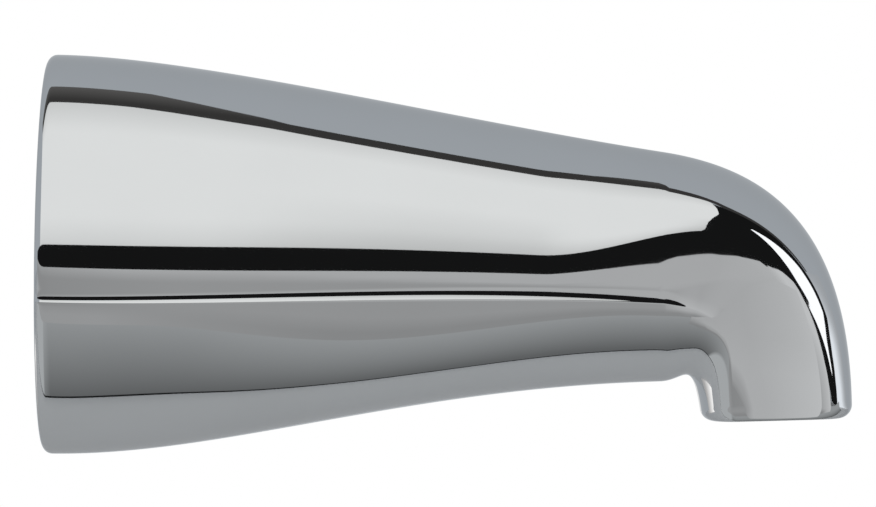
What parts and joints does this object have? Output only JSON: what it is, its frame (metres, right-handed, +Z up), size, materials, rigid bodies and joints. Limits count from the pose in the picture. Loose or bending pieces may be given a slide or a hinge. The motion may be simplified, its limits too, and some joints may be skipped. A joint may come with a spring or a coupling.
{
  "type": "bath spout",
  "caption": "Wall-mounted bath spout: chrome-plated hollow casting with a round wall end, a tapering creased hood, a down-turned outlet and an inner female pipe thread.",
  "frame": {"origin": "centre of the round wall end, on the finished wall's surface", "axes": "+X out of the wall along the supply pipe's axis to the nose, +Z up, Y across, with the spout the same on both sides of Y = 0"},
  "size_m": [0.1285, 0.0636, 0.0636],
  "materials": {
    "chrome_plate": "polished"
  },
  "bodies": {
    "root": {"spout_body": "chrome_plate"}
  },
  "joints": []
}
